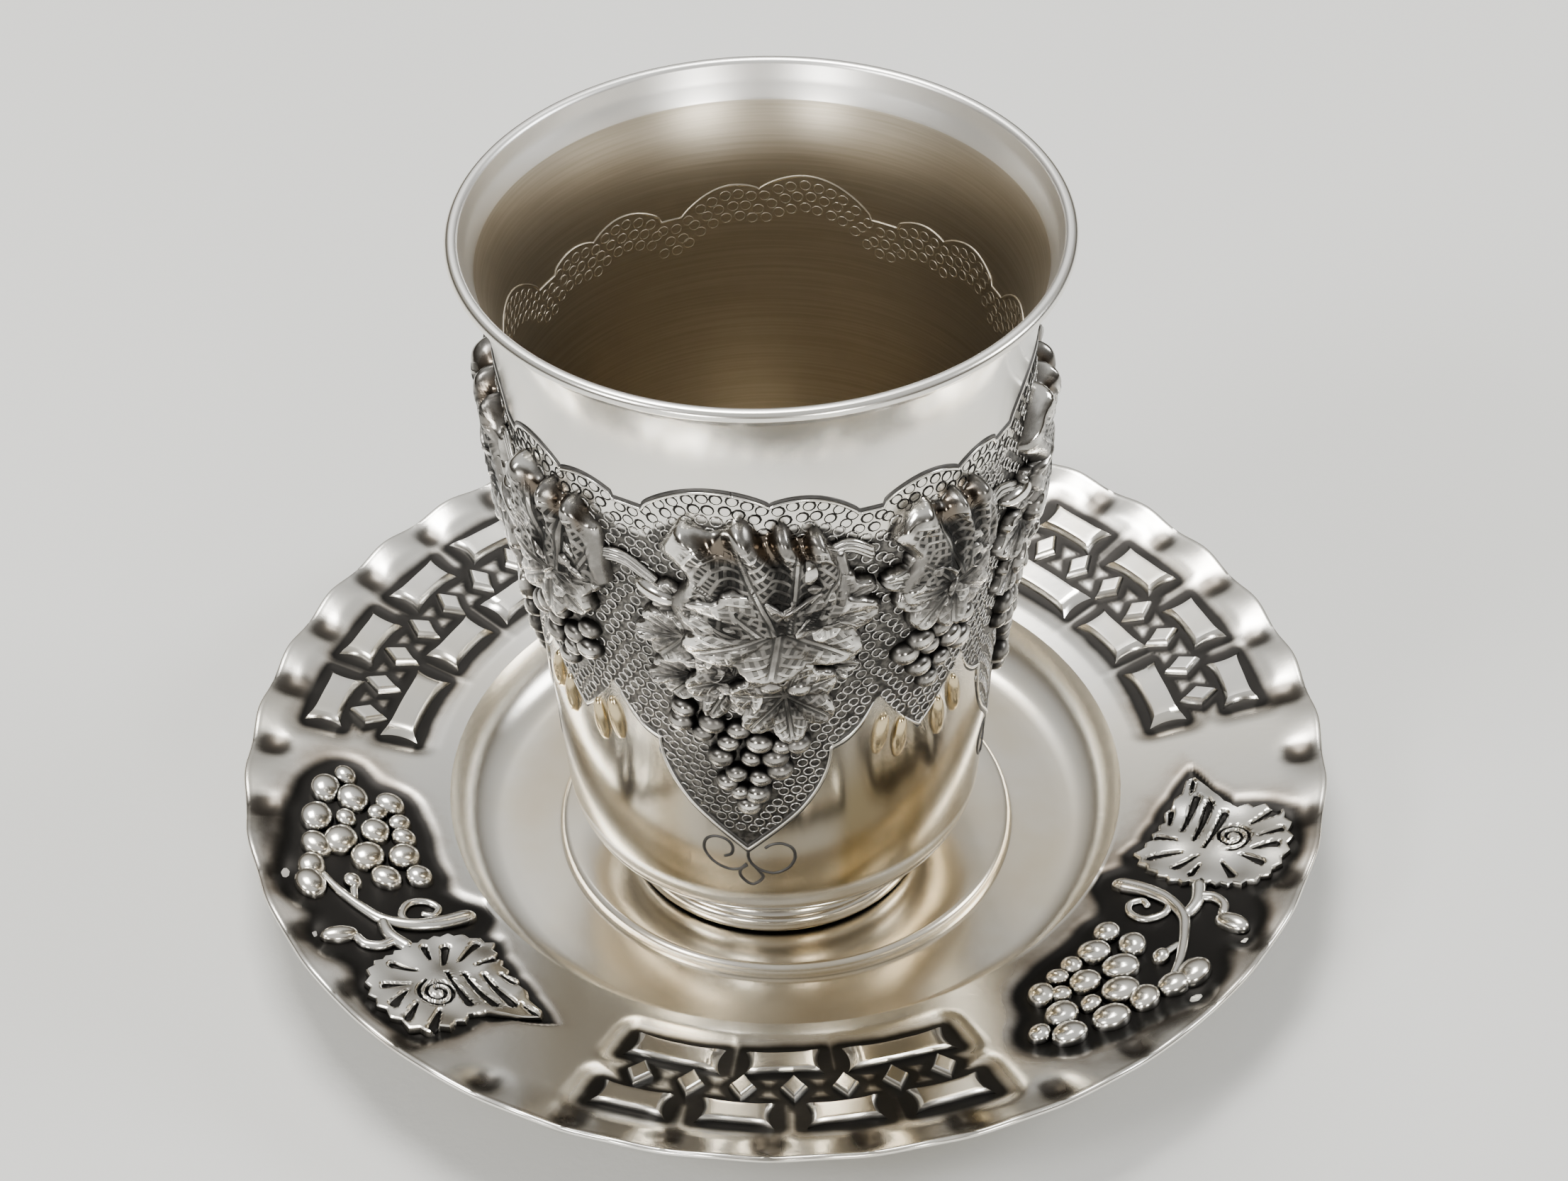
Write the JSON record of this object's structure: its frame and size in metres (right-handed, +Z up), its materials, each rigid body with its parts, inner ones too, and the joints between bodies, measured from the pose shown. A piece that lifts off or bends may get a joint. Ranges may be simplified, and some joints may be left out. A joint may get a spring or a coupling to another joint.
{
  "type": "kiddush cup",
  "caption": "Silver wine cup for kiddush with a flared lip and a raised belt of vine leaves and grapes, standing on its matching scalloped saucer.",
  "frame": {"origin": "centre of the saucer's underside, on the surface it stands on", "axes": "+Z up along the saucer's axis, -Y towards the viewer of the front bunch"},
  "size_m": [0.13, 0.13, 0.0915],
  "materials": {
    "cup_silver": "polished sterling silver, blackened in the ornament's recesses, brushed satin inside",
    "saucer_silver": "polished silver, blackened grounds round the raised ornament, light tarnish"
  },
  "bodies": {
    "root": {"cup": "cup_silver", "saucer": "saucer_silver"}
  },
  "joints": []
}
